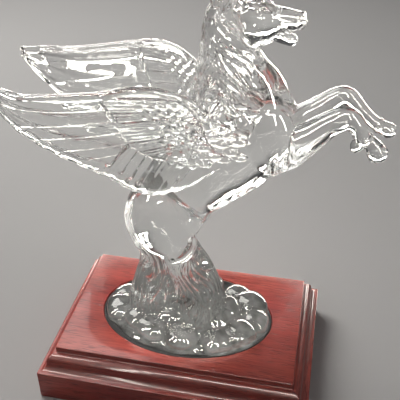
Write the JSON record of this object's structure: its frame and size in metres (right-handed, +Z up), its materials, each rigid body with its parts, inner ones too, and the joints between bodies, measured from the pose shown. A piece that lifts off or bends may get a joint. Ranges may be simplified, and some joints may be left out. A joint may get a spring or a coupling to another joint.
{
  "type": "crystal pegasus ornament",
  "caption": "Rearing winged horse in clear crystal on a cloud base, standing in the felt-lined oval recess of a moulded mahogany plinth; a shelf or desk ornament.",
  "frame": {"origin": "centre of the plinth's underside, on the surface that it stands on", "axes": "+X the way the horse faces, along the plinth's long side; +Y towards the horse's left side, along the short side; +Z up"},
  "size_m": [0.1921, 0.1034, 0.2337],
  "materials": {
    "clear_crystal": "clear cast crystal, fire-polished, see-through",
    "mahogany": "red-brown mahogany with a satin lacquer, fine grain along the plinth's length",
    "black_felt": "matt black felt"
  },
  "bodies": {
    "root": {"pegasus": "clear_crystal", "plinth": "mahogany", "felt_liner": "black_felt"}
  },
  "joints": []
}
